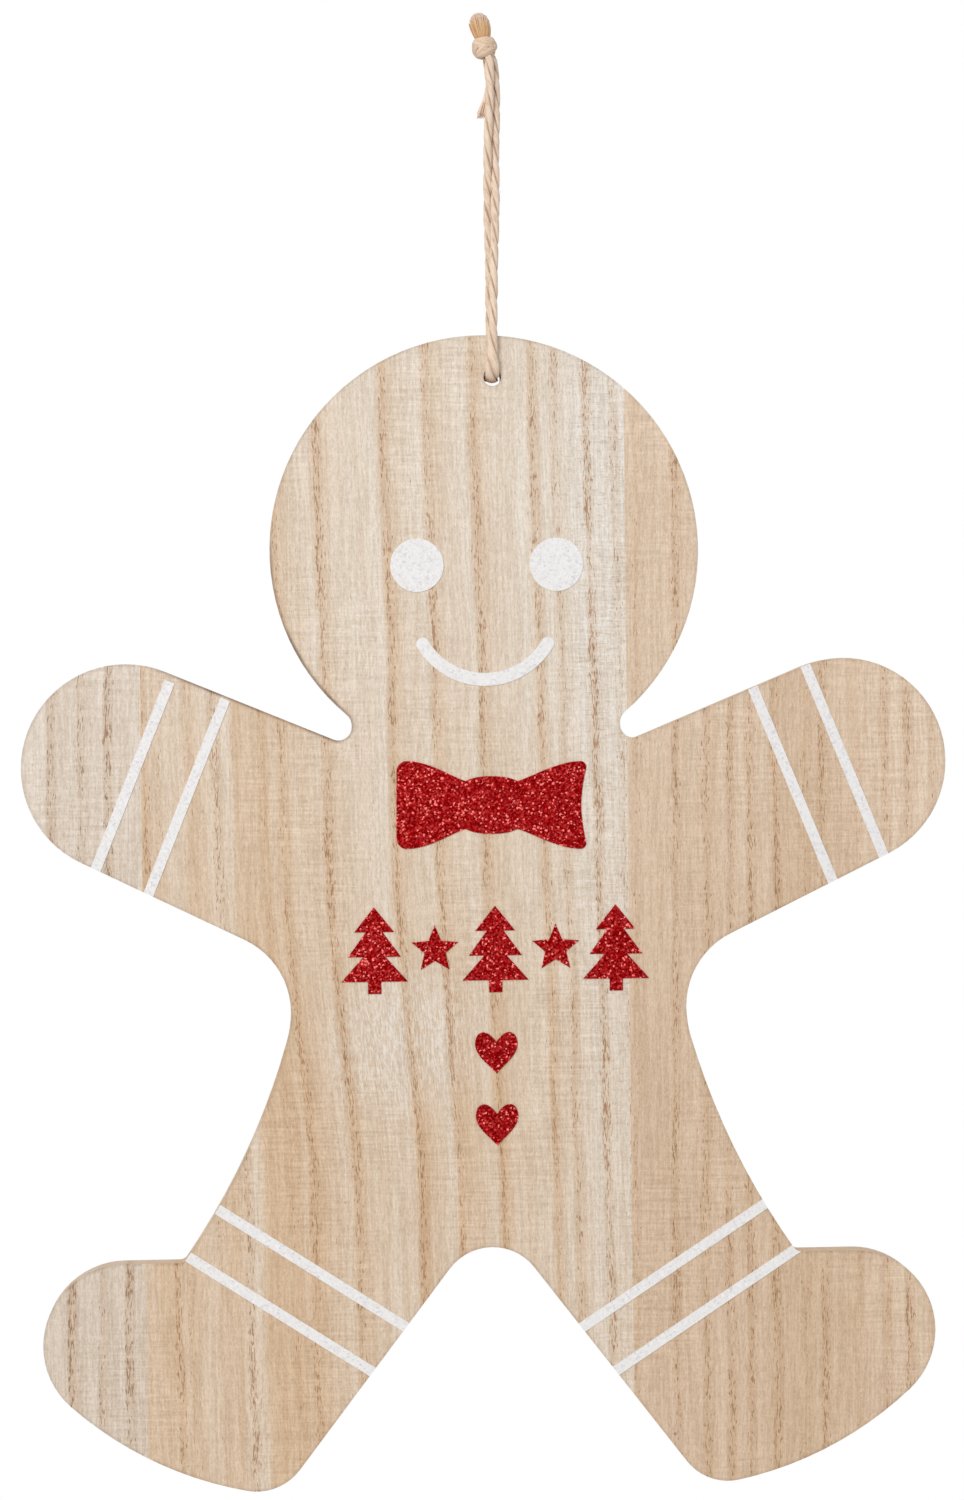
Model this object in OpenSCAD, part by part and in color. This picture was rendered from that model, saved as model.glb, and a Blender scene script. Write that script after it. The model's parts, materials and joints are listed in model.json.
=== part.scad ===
// Hanging gingerbread figure sawn from a board of edge-glued paulownia staves.
// Its face, bow tie, motifs, hearts and cuff stripes are glitter laid on the front, and a loop of jute
// twine through the head hangs it up. Millimetres, +Z up, front towards -Y. The origin lies between the
// two strands of twine just under the knot, where a hook or a nail holds the loop.

/* [Board] */
// Thickness of the glued board
board_t = 9; // [6:0.5:12]
// Distance of the left glue line from the figure's middle
left_seam = 119.5; // [100:0.5:140]
// Distance of the right glue line from the figure's middle
right_seam = 49; // [30:0.5:66]

/* [Head] */
// Diameter of the head
head_d = 149; // [120:1:180]
// Width of the neck between its two notches
neck_w = 93.2; // [60:0.2:110]
// Radius of each notch between head and shoulder
neck_r = 4.7; // [3:0.1:7]
// Straight height of the neck at the bottom of a notch
neck_h = 0.6; // [0.2:0.1:20]

/* [Arms] */
// Span across both hands
arm_span = 321.5; // [290:0.5:380]
// Height of the hands' centres above the soles
hand_z = 250.5; // [230:0.5:300]
// Radius of the round hands
hand_r = 36; // [30:0.5:42]
// Slope of the upper edge of each arm
arm_top_slope = 22.5; // [15:0.5:30]
// Slope of the lower edge of each arm
arm_low_slope = 26; // [18:0.5:32]

/* [Waist and legs] */
// Width of the waist at its narrowest
waist_w = 137.5; // [110:0.5:160]
// Radius under each arm
underarm_r = 28; // [15:0.5:40]
// Radius of the waist below that
waist_r = 38; // [20:0.5:80]
// Angle through which the waist turns outwards
waist_turn = 16; // [5:0.5:25]
// Radius of the long hollow curve down the outside of each leg
leg_r = 250; // [150:1:400]
// Height of the top of the gap between the legs
crotch_z = 83; // [60:0.5:110]
// Radius at the top of that gap
crotch_r = 18.5; // [8:0.5:25]
// Lean of the inside of each leg away from upright
leg_lean = 37.5; // [30:0.5:45]

/* [Feet] */
// Length of each foot from instep to toe
foot_len = 47; // [40:0.5:70]
// Radius of the toe
toe_r = 28; // [22:0.5:36]
// Height of the toe's centre above the sole
toe_z = 51.5; // [45:0.5:70]
// Radius of the curved sole
sole_r = 126; // [90:1:200]
// Radius of the heel
heel_r = 18.5; // [4:0.5:20]
// Radius of the corner between leg and foot
instep_r = 3; // [1:0.5:8]

/* [Hanging hole] */
// Diameter of the hole drilled through the head
hole_d = 6.2; // [5.5:0.1:10]
// Distance of the hole below the top of the head
hole_drop = 14.5; // [10:0.5:30]
// Distance of the hole to the right of the figure's middle
hole_x = 3.3; // [0:0.1:10]
// Lean of the figure as it hangs from that hole
hang_tilt = 0.6; // [0:0.05:3]

/* [Glitter] */
// Thickness of the glitter layer
glitter_t = 0.3; // [0.2:0.05:1]
// How far the white face sits to the right of the figure's middle
white_x = 0.7; // [-5:0.1:5]
// How far the red print sits to the right of the figure's middle
red_x = 2.3; // [-5:0.1:5]

/* [Face] */
// Diameter of each eye
eye_d = 18.5; // [10:0.5:24]
// Distance between the middles of the eyes
eye_gap = 48.5; // [30:0.5:70]
// Distance of the eyes below the middle of the head
eye_drop = 5.2; // [0:0.1:15]
// Diameter of the smile along its middle line
smile_d = 50.4; // [36:0.2:64]
// Width of the smile's stroke
smile_w = 4.5; // [3:0.1:7]
// Angle that the smile spans
smile_span = 119; // [60:1:150]
// Distance of the smile's centre below the middle of the head
smile_drop = 19.8; // [14:0.2:28]
// How far the smile sits to the right of the middle of the eyes
smile_x = -0.8; // [-3:0.1:3]

/* [Bow tie] */
// Width of the bow tie
bow_w = 66; // [50:0.5:90]
// Height of its ends
bow_h = 30.5; // [24:0.5:40]
// Height where the bow is pinched beside its knot
bow_pinch_h = 16.6; // [10:0.2:20]
// Width of the bow's knot
bow_knot_w = 18; // [12:0.5:26]
// Height of the bow's knot
bow_knot_h = 20; // [18:0.2:24]
// How far the bow tie sits to the right of the other red pieces
bow_x = -0.8; // [-3:0.1:3]
// Height of the bow tie above the soles
bow_z = 236.5; // [222:0.5:245]
// Slant of the bow tie on the figure
bow_turn = -0.6; // [-3:0.05:3]

/* [Row of motifs] */
// Height of the middle of the row above the soles
row_z = 186.5; // [175:0.5:200]
// Height of each fir tree
tree_h = 30; // [20:0.5:34]
// Width of each fir tree
tree_w = 23; // [16:0.5:28]
// Distance from one tree to the next
tree_pitch = 42; // [36:0.5:50]
// Diameter across the points of each star
star_d = 17; // [10:0.5:19]

/* [Hearts] */
// Width of each heart
heart_w = 14.8; // [8:0.2:20]
// Height of each heart
heart_h = 14.4; // [8:0.2:20]
// Height of the upper heart above the soles
heart_z = 150.4; // [140:0.2:160]
// Distance from one heart to the next
heart_pitch = 25; // [21:0.2:30]

/* [Stripes] */
// Width of every stripe
stripe_w = 3.6; // [2:0.1:8]
// Distance of the outer arm stripe from the middle of the hand
arm_stripe_in = 3.1; // [0:0.1:10]
// How far the left hand's stripe stops short of the arm's upper edge
left_hand_short = 2.6; // [0:0.1:10]
// How far the left wrist's stripe stops short of it
left_wrist_short = 1.3; // [0:0.1:10]
// Distance between the two stripes on an arm
arm_stripe_gap = 20; // [12:0.5:26]
// Slope at which the arm stripes lean in towards the body
arm_stripe_slope = 22; // [15:0.5:30]
// How much nearer the end of its hand the right arm's stripes lie
right_arm_stripe_out = 3.5; // [0:0.1:6]
// Distance of the ankle's stripe above the instep
ankle_stripe_up = 3.5; // [0:0.1:10]
// Distance between the two stripes on a leg
leg_stripe_gap = 19.2; // [12:0.1:26]
// Slope of the leg stripes
leg_stripe_slope = 33; // [25:0.5:40]
// How much lower the right leg's stripes lie
right_leg_stripe_down = 1.7; // [0:0.1:4]

/* [Twine] */
// Thickness of the jute twine
cord_d = 3; // [2:0.1:3.1]
// Diameter of the knot
knot_d = 9; // [8.6:0.1:12]
// Height of the knot
knot_h = 8; // [6:0.2:12]
// Width of the frayed tuft on the knot
tuft_d = 7.4; // [5:0.1:9]
// Height of the tuft
tuft_h = 8.6; // [5:0.1:12]

/* [Hidden] */

// Largest distance between a drawn arc and its chords
arc_tol = 0.04;

// Arms: the edges run on from the round hand at two slopes
hand_c = [arm_span / 2 - hand_r, hand_z];

// Neck: a short upright line, rounded into the shoulder below it and the head above it
notch_x = neck_w / 2 + neck_r;
shoulder_z = hand_z + (hand_r + neck_r + (notch_x - hand_c.x) * sin(arm_top_slope)) / cos(arm_top_slope);
notch_z = shoulder_z + neck_h;
head_r = head_d / 2;
chin_angle = acos(notch_x / (head_r + neck_r));
head_z = notch_z + (head_r + neck_r) * sin(chin_angle);
figure_h = head_z + head_r;

// Waist and leg: three arcs, each carrying on from the last
underarm_x = waist_w / 2 + underarm_r;
waist_z = hand_z + ((underarm_x - hand_c.x) * sin(arm_low_slope) - hand_r - underarm_r) / cos(arm_low_slope);
waist_c = [waist_w / 2 + waist_r, waist_z];
leg_c = waist_c + (leg_r - waist_r) * [cos(waist_turn), sin(waist_turn)];

// Foot: flat top, round toe, curved sole and round heel
foot_top = toe_z + toe_r;
instep_turn = asin((leg_c.y - foot_top - instep_r) / (leg_r - instep_r));
instep_c = [leg_c.x - (leg_r - instep_r) * cos(instep_turn), foot_top + instep_r];
toe_c = [instep_c.x + foot_len - toe_r, toe_z];
crotch_c = [0, crotch_z - crotch_r];
heel_c = [(crotch_r + heel_r + (crotch_c.y - heel_r) * sin(leg_lean)) / cos(leg_lean), heel_r];
sole_c = circle_meet(heel_c, sole_r - heel_r, toe_c, sole_r - toe_r);
sole_front = atan2(toe_c.y - sole_c.y, toe_c.x - sole_c.x);
sole_back = atan2(heel_c.y - sole_c.y, heel_c.x - sole_c.x);

// Height of the hanging hole above the soles, and its drop below the origin: its top bears on the twine
hole_z = figure_h - hole_drop;
bearing_z = -105.9;
hang_drop = hole_d / 2 - bearing_z;
// Run of a cutter past the face that it cuts
over = 1;
// Distances of the right stripes, from the middle of the hand and above the instep
right_stripe_in = arm_stripe_in - right_arm_stripe_out;
right_stripe_up = ankle_stripe_up - right_leg_stripe_down;
// Length of a strip of glitter before the outline trims it, and its run past the instep
arm_strip = 2 * hand_r + 14;
leg_strip = 190;
leg_strip_out = 4;

// Ends of the bow tie: how deep each is hollowed, and the rounding of its corners
bow_hollow_left = 0;
bow_hollow_right = 1.8;
bow_corner_left = 3.5;
bow_corner_right = 2;
// Reach of the handles that bend the edges of its wings
bow_bend = 4;
// Shares of a fir tree: its tiers, how far each tier steps back in, and its trunk
tree_tiers = 3;
tree_step = 0.42;
trunk_h = 0.14;
trunk_w = 0.2;
star_points = 5;
star_inner = 0.45;

// Twine: rings of 8 sides, and route points chosen by hand. The strand that leaves the knot on the right
// passes in front of the head, through the hole and up behind it to the left strand
cord_sides = 8;
strand_front = [
    [1.4, 0.8, -30.2], [1.4, 0.8, -33], [1.6, 0.2, -38], [1.6, -0.5, -43], [1.5, -1.2, -48], [1.2, -2.2, -54],
    [0.9, -3.2, -60], [0.6, -4.2, -66], [0.4, -5.2, -73], [0.3, -6, -80], [0.2, -6.5, -88], [0.1, -6.5, -96],
    [0, -6.5, -101], [0, -6.5, -104.4], [0, -6.1, -106.3], [0, -5, -107.9], [0, -3.4, -109], [0, -1.5, -109.4]
];
left_route = [
    [-0.8, -1.7, 2], [-0.8, -1.7, -1], [-0.7, -1.6, -4], [-0.6, -1.4, -10], [-0.9, -1.2, -18],
    [-1.4, -0.8, -27], [-1.4, -0.8, -29.9]
];
right_route = [
    [0.9, 1, 2], [0.9, 1, -1], [1.4, 1, -4], [1.6, 1, -10], [1.5, 0.9, -18],
    [1.4, 0.8, -27], [1.4, 0.8, -29.9]
];
tail_route = [
    [-2.6, 1.9, 2], [-2.6, 1.9, -1], [-1.9, 2.6, -4], [-1.4, 2.8, -8], [-1.6, 2.4, -11], [-2.4, 1.9, -14],
    [-3.1, 1.5, -17.5]
];
knot_c = [-2.3, -0.3, 2];
tuft_x = -3.4;

// Upper meeting point of two circles
function circle_meet(a, ra, b, rb) =
    let (d = norm(b - a), along = (b - a) / d, t = (ra * ra - rb * rb + d * d) / (2 * d))
    a + t * along + sqrt(ra * ra - t * t) * [-along.y, along.x];

// Points of an arc from angle a0 to angle a1
function arc(c, r, a0, a1) =
    let (n = max(2, ceil(abs(a1 - a0) / (2 * acos(1 - arc_tol / r)))))
    [for (i = [0:n]) let (a = a0 + (a1 - a0) * i / n) c + r * [cos(a), sin(a)]];

// Points of a cubic curve between two points with two handles
function curve(p, q, r, s, n = 10) =
    [for (i = [0:n]) let (t = i / n, u = 1 - t) u^3 * p + 3 * u^2 * t * q + 3 * u * t^2 * r + t^3 * s];

// A closed outline with each repeated point left out
function once(p) = [for (i = [0:len(p) - 1]) if (norm(p[i] - p[(i + 1) % len(p)]) > 0.001) p[i]];

// A path and its mirror image about the figure's middle, as one closed outline
function mirrored(p) = once(concat(p, [for (i = [len(p) - 1:-1:0]) [-p[i].x, p[i].y]]));

// Right half of the figure, from the crown round the hand and the foot to the crotch
half_figure = concat(
    arc([0, head_z], head_r, 90, -chin_angle),
    arc([notch_x, notch_z], neck_r, 180 - chin_angle, 180),
    arc([notch_x, shoulder_z], neck_r, 180, 270 + arm_top_slope),
    arc(hand_c, hand_r, 90 + arm_top_slope, arm_low_slope - 90),
    arc([underarm_x, waist_z], underarm_r, 90 + arm_low_slope, 180),
    arc(waist_c, waist_r, 180, 180 + waist_turn),
    arc(leg_c, leg_r, 180 + waist_turn, 180 + instep_turn),
    arc(instep_c, instep_r, 180 + instep_turn, 270),
    arc(toe_c, toe_r, 90, sole_front),
    arc(sole_c, sole_r, sole_front, sole_back),
    arc(heel_c, heel_r, sole_back, leg_lean - 180),
    arc(crotch_c, crotch_r, leg_lean, 90)
);

// One half of the bow tie, from the top of its knot round the wing to the bottom
bow_crown = [0, bow_knot_h / 2];
bow_pinch = [bow_knot_w / 2, bow_pinch_h / 2];
function half_bow(corner, hollow) =
    let (
        wing = [bow_w / 2 - corner, bow_h / 2],
        side = [bow_w / 2, bow_h / 2 - corner],
        waist = [bow_w / 2 - hollow, 0],
        top = concat(
            curve(bow_crown, bow_crown + [bow_pinch.x / 2, 0], bow_pinch + [-bow_pinch.x / 5, 1], bow_pinch),
            curve(bow_pinch, bow_pinch + [bow_bend, 1], wing - [2 * bow_bend, 0], wing),
            curve(wing, wing + [corner / 2, 0], side + [0, corner / 2], side),
            curve(side, side - [hollow / 2, bow_bend], waist + [0, bow_bend], waist)
        )
    )
    concat(top, [for (i = [len(top) - 1:-1:0]) [top[i].x, -top[i].y]]);
left_half = half_bow(bow_corner_left, bow_hollow_left);
bow_outline = once(concat(
    half_bow(bow_corner_right, bow_hollow_right),
    [for (i = [len(left_half) - 1:-1:0]) [-left_half[i].x, left_half[i].y]]
));

// Rounded stroke of the smile
smile_outline = once(concat(
    arc([0, 0], (smile_d + smile_w) / 2, -90 - smile_span / 2, -90 + smile_span / 2),
    arc(smile_d / 2 * [sin(smile_span / 2), -cos(smile_span / 2)], smile_w / 2,
        -90 + smile_span / 2, 90 + smile_span / 2),
    arc([0, 0], (smile_d - smile_w) / 2, -90 + smile_span / 2, -90 - smile_span / 2),
    arc(smile_d / 2 * [-sin(smile_span / 2), -cos(smile_span / 2)], smile_w / 2,
        90 - smile_span / 2, 270 - smile_span / 2)
));

// Fir tree: each tier slopes out and then steps back in, above a short trunk
tier_h = tree_h * (1 - trunk_h) / tree_tiers;
half_tree = concat(
    [[0, tree_h / 2]],
    [for (i = [1:tree_tiers]) let (w = tree_w / 2 * (0.4 + 0.6 * i / tree_tiers), z = tree_h / 2 - i * tier_h)
        each [[w, z], [i < tree_tiers ? w * tree_step : tree_w * trunk_w / 2, z]]],
    [[tree_w * trunk_w / 2, -tree_h / 2], [0, -tree_h / 2]]
);

star_outline = [for (i = [0:2 * star_points - 1])
    let (a = 90 + i * 180 / star_points) star_d / 2 * (i % 2 == 0 ? 1 : star_inner) * [cos(a), sin(a)]];

// Heart: a power of the sine across, the lower the fuller, and a sum of cosines up, which is 28.9 high with
// its middle 2.6 below zero
heart_power = 2.1;
heart_curve = [for (i = [0:59]) let (a = i * 6) [
    heart_w / 2 * sign(sin(a)) * abs(sin(a))^heart_power,
    heart_h / 28.9 * (13 * cos(a) - 5 * cos(2 * a) - 2 * cos(3 * a) - cos(4 * a) + 2.6)
]];

// Places drawn upright from the soles, at their hang under the origin
module hang() {
    translate([0, 0, -hang_drop]) rotate([0, -hang_tilt, 0]) translate([-hole_x, 0, -hole_z]) children();
}

module figure_outline() {
    polygon(mirrored(half_figure));
}

// A slice of the figure through the whole thickness of the board
module stave() {
    hang() rotate([90, 0, 0]) linear_extrude(board_t, center = true) intersection() {
        figure_outline();
        children();
    }
}

// A layer of glitter on the front of the board
module glitter() {
    hang() translate([0, -board_t / 2, 0]) rotate([90, 0, 0]) linear_extrude(glitter_t) children();
}

// Glitter shapes at their places in the white print and in the red one
module white(x, z) {
    color("#f4f2f1") glitter() translate([white_x + x, z]) children();
}

module red(x, z) {
    color("#b3121d") glitter() translate([red_x + x, z]) children();
}

// The part of the plane between two upright lines and two levels
module window(x0, x1, z0, z1) {
    translate([x0, z0]) square([x1 - x0, z1 - z0]);
}

module stave_middle() {
    color("#dcc7a6") difference() {
        stave() window(-left_seam, right_seam, -over, figure_h + over);
        hang() translate([hole_x, 0, hole_z]) rotate([90, 0, 0])
            cylinder(h = board_t + 2 * over, d = hole_d, center = true, $fn = 48);
    }
}

module stave_left_hand() {
    color("#d6c1a0") stave() window(-arm_span, -left_seam, waist_z, figure_h);
}

module stave_left_foot() {
    color("#d6c1a0") stave() window(-arm_span, -left_seam, -over, waist_z);
}

// The part of the plane above the right shoulder: a line out of the notch, midway between head and arm
module above_shoulder() {
    translate([notch_x, notch_z]) rotate((arm_top_slope + 90 - chin_angle) / 2)
        translate([-figure_h, 0]) square([2 * figure_h, figure_h]);
}

module stave_right_cheek() {
    color("#d0b48c") stave() intersection() {
        window(right_seam, arm_span, -over, figure_h + over);
        above_shoulder();
    }
}

module stave_right_side() {
    color("#d0b48c") stave() difference() {
        window(right_seam, arm_span, -over, figure_h + over);
        above_shoulder();
    }
}

module eye(side) {
    white(side * eye_gap / 2, head_z - eye_drop) circle(d = eye_d, $fn = 64);
}

module smile() {
    white(smile_x, head_z - smile_drop) polygon(smile_outline);
}

module bow_tie() {
    red(bow_x, bow_z) rotate(bow_turn) polygon(bow_outline);
}

module tree(place) {
    red(place * tree_pitch, row_z) polygon(mirrored(half_tree));
}

module star(place) {
    red(place * tree_pitch, row_z) polygon(star_outline);
}

module heart(count) {
    red(0, heart_z - count * heart_pitch) polygon(heart_curve);
}

// A stripe across an arm, a given distance from the middle of the hand towards the body
module arm_stripe(side, inward, short = -over) {
    color("#f4f2f1") glitter() intersection() {
        figure_outline();
        mirror([side < 0 ? 1 : 0, 0]) translate(hand_c) rotate(arm_stripe_slope)
            translate([-inward - stripe_w / 2, -arm_strip / 2])
                square([stripe_w, arm_strip / 2 + hand_r - short]);
    }
}

// A stripe across a leg, a given distance above the instep
module leg_stripe(side, up) {
    color("#f4f2f1") glitter() intersection() {
        figure_outline();
        mirror([side < 0 ? 1 : 0, 0]) translate([instep_c.x, foot_top]) rotate(leg_stripe_slope)
            translate([leg_strip_out - leg_strip, up - stripe_w / 2]) square([leg_strip, stripe_w]);
    }
}

// Sweeps a tube of twine along a route: rings square to the path, turned as little as they can be
function unit(v) = v / norm(v);
function heading(p, i) = unit(p[min(i + 1, len(p) - 1)] - p[max(i - 1, 0)]);
function ring(p, i) =
    let (t = heading(p, i), u = unit(cross(t, [1, 0.2, 0])), v = cross(t, u))
    [for (k = [0:cord_sides - 1]) let (a = 360 * (k + 0.5) / cord_sides)
        p[i] + cord_d / 2 * (cos(a) * u + sin(a) * v)];

module twine(route) {
    last = len(route) - 1;
    n = cord_sides;
    points = [for (i = [0:last]) each ring(route, i)];
    sides = [for (i = [0:last - 1], k = [0:n - 1]) let (a = i * n + k, b = i * n + (k + 1) % n)
        each [[a, b, a + n], [b, b + n, a + n]]];
    ends = [[for (k = [n - 1:-1:0]) k], [for (k = [0:n - 1]) last * n + k]];
    polyhedron(points = points, faces = concat(sides, ends), convexity = 8);
}

module cord_loop() {
    strand_back = [for (i = [len(strand_front) - 1:-1:0]) let (p = strand_front[i]) [-p.x, -p.y, p.z]];
    color("#d9b98c") twine(concat(strand_front, strand_back));
}

module cord_left() {
    color("#d9b98c") twine(left_route);
}

module cord_right() {
    color("#d9b98c") twine(right_route);
}

module tail() {
    color("#d2ae86") twine(tail_route);
}

// The overhand knot, with two turns of twine round the strands
module knot() {
    turn_r = knot_h / 4;
    color("#d9c09c") translate(knot_c) rotate_extrude($fn = 48) {
        square([knot_d / 2 - turn_r * 0.6, knot_h]);
        for (z = [turn_r, 3 * turn_r])
            intersection() {
                translate([knot_d / 2 - turn_r, z]) circle(turn_r, $fn = 32);
                window(0, knot_d / 2, 0, knot_h);
            }
    }
}

// The cut ends above the knot, frayed into a tuft with a round top
module tuft() {
    base_r = tuft_d / 3;
    widest = [tuft_d / 2, tuft_h * 0.6];
    color("#cda673") translate([tuft_x, knot_c.y, knot_c.z + knot_h]) rotate_extrude($fn = 48)
        polygon(once(concat(
            [[0, 0], [base_r, 0]],
            curve([base_r, 0], [base_r, tuft_h / 4], widest - [0, tuft_h / 4], widest),
            curve(widest, widest + [0, tuft_h / 4], [tuft_d / 3, tuft_h], [0, tuft_h])
        )));
}

stave_middle();
stave_left_hand();
stave_left_foot();
stave_right_cheek();
stave_right_side();
eye(-1);  // eye_left
eye(1);  // eye_right
smile();
bow_tie();
tree(-1);  // tree_left
star(-0.5);  // star_left
tree(0);  // tree_middle
star(0.5);  // star_right
tree(1);  // tree_right
heart(0);  // heart_upper
heart(1);  // heart_lower
arm_stripe(-1, arm_stripe_in, left_hand_short);  // stripe_left_hand
arm_stripe(-1, arm_stripe_in + arm_stripe_gap, left_wrist_short);  // stripe_left_wrist
arm_stripe(1, right_stripe_in + arm_stripe_gap);  // stripe_right_wrist
arm_stripe(1, right_stripe_in);  // stripe_right_hand
leg_stripe(-1, ankle_stripe_up + leg_stripe_gap);  // stripe_left_shin
leg_stripe(-1, ankle_stripe_up);  // stripe_left_ankle
leg_stripe(1, right_stripe_up + leg_stripe_gap);  // stripe_right_shin
leg_stripe(1, right_stripe_up);  // stripe_right_ankle
cord_loop();
cord_left();
cord_right();
knot();
tuft();
tail();
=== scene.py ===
import json
import math

import bpy
import numpy as np
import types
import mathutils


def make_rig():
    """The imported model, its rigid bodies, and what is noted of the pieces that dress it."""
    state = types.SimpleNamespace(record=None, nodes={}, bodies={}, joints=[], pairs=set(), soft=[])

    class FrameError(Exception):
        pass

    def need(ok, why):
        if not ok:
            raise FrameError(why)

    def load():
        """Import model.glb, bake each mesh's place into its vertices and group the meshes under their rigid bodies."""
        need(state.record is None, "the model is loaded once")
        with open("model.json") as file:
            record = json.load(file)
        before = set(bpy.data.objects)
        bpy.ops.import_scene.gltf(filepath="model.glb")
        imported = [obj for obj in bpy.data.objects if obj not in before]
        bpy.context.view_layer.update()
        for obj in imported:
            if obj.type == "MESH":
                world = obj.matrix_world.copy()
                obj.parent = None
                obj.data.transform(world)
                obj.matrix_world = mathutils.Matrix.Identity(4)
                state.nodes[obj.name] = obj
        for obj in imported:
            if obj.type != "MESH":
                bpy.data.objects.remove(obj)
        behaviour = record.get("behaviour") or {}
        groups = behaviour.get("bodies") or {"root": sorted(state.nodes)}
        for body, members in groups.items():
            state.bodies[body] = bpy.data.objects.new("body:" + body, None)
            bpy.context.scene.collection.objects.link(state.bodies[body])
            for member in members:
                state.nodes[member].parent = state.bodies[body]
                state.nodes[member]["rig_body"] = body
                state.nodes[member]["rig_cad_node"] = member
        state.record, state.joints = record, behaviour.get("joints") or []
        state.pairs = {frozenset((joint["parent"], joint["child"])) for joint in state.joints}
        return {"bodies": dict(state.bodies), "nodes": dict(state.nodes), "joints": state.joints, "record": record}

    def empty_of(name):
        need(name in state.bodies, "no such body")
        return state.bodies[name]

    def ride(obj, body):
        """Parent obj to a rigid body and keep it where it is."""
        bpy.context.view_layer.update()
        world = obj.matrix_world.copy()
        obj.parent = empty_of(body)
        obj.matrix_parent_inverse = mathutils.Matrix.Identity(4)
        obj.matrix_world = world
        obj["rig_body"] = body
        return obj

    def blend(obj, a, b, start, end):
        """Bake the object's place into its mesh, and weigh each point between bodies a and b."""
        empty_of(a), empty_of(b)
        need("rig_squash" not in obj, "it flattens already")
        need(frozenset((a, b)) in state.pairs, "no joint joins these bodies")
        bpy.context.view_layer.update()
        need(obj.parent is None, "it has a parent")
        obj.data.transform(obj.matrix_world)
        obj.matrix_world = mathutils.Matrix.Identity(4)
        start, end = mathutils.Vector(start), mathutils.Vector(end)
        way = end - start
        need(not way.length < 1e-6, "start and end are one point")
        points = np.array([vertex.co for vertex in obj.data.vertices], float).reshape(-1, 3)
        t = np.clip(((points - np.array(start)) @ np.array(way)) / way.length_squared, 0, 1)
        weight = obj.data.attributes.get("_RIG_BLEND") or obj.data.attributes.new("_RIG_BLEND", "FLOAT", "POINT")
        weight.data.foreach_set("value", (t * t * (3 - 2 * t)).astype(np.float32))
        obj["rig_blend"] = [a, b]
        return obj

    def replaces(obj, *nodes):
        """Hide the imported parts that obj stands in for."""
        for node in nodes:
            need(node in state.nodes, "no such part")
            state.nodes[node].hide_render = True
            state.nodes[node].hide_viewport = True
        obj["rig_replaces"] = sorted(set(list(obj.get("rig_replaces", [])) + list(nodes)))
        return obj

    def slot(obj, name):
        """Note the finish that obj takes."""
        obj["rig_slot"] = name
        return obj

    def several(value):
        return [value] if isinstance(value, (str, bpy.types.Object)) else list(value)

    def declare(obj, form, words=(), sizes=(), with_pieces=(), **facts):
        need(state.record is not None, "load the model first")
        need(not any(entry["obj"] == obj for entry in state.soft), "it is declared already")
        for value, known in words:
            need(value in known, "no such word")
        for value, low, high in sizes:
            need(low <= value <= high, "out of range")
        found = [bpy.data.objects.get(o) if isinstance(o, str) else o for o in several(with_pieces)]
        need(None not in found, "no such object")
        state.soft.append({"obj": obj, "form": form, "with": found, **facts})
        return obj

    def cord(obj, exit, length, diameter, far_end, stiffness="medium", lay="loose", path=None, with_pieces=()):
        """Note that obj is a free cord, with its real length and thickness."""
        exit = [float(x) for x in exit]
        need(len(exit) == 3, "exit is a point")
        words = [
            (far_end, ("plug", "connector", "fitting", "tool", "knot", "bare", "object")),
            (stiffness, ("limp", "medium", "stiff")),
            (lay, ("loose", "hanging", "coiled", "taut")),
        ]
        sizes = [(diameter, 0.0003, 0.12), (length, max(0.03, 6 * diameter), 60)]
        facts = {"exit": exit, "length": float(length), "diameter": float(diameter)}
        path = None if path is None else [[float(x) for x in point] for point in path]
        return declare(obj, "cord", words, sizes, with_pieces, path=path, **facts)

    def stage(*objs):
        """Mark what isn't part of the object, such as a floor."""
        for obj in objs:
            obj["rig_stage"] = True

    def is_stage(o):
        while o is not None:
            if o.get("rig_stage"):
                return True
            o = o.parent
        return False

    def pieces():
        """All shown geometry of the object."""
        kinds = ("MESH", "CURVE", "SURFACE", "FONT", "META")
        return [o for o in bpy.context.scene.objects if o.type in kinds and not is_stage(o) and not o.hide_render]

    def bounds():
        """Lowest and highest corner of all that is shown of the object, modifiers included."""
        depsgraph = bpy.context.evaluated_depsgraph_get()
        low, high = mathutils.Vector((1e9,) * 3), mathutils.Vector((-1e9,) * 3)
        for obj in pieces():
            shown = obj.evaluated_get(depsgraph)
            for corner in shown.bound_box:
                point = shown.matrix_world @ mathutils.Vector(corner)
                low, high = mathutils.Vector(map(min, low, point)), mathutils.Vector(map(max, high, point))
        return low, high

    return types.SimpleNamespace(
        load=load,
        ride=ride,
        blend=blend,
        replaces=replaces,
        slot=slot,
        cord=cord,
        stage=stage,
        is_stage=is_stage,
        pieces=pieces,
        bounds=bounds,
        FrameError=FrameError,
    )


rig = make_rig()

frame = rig.load()
cad_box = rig.bounds()
nodes = frame["nodes"]
scene = bpy.context.scene
scene.view_settings.view_transform = "Standard"

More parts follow.
